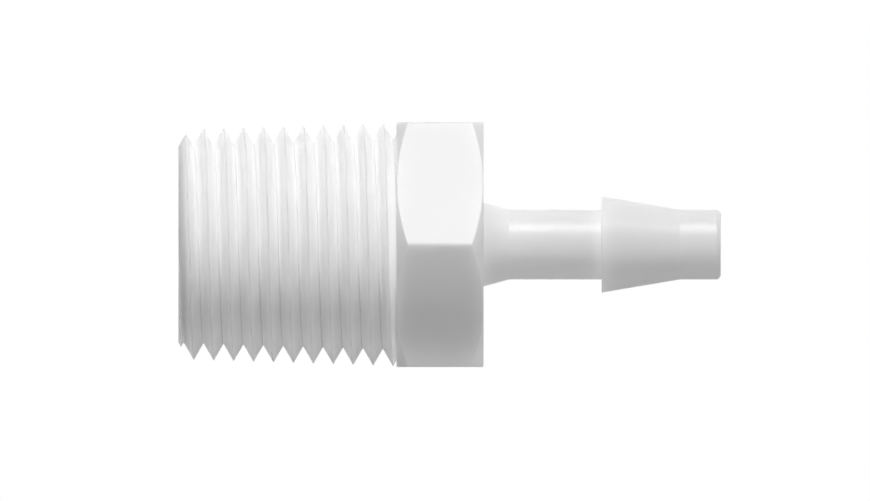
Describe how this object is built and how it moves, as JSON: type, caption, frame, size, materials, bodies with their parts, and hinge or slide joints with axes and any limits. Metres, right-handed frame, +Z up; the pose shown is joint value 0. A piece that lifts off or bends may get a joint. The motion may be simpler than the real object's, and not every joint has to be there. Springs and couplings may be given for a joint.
{
  "type": "hose barb adapter",
  "caption": "White moulded plastic adapter: a tapered male pipe thread, a hexagon for the wrench and a straight tail with a hose barb.",
  "frame": {"origin": "centre of the threaded end's face, on the axis", "axes": "+X along the axis from the threaded end to the barbed end, +Z up, square to two of the hexagon's flats"},
  "size_m": [0.0494, 0.0258, 0.0222],
  "materials": {
    "white_plastic": "satin, as moulded"
  },
  "bodies": {
    "root": {"hose_adapter": "white_plastic"}
  },
  "joints": []
}
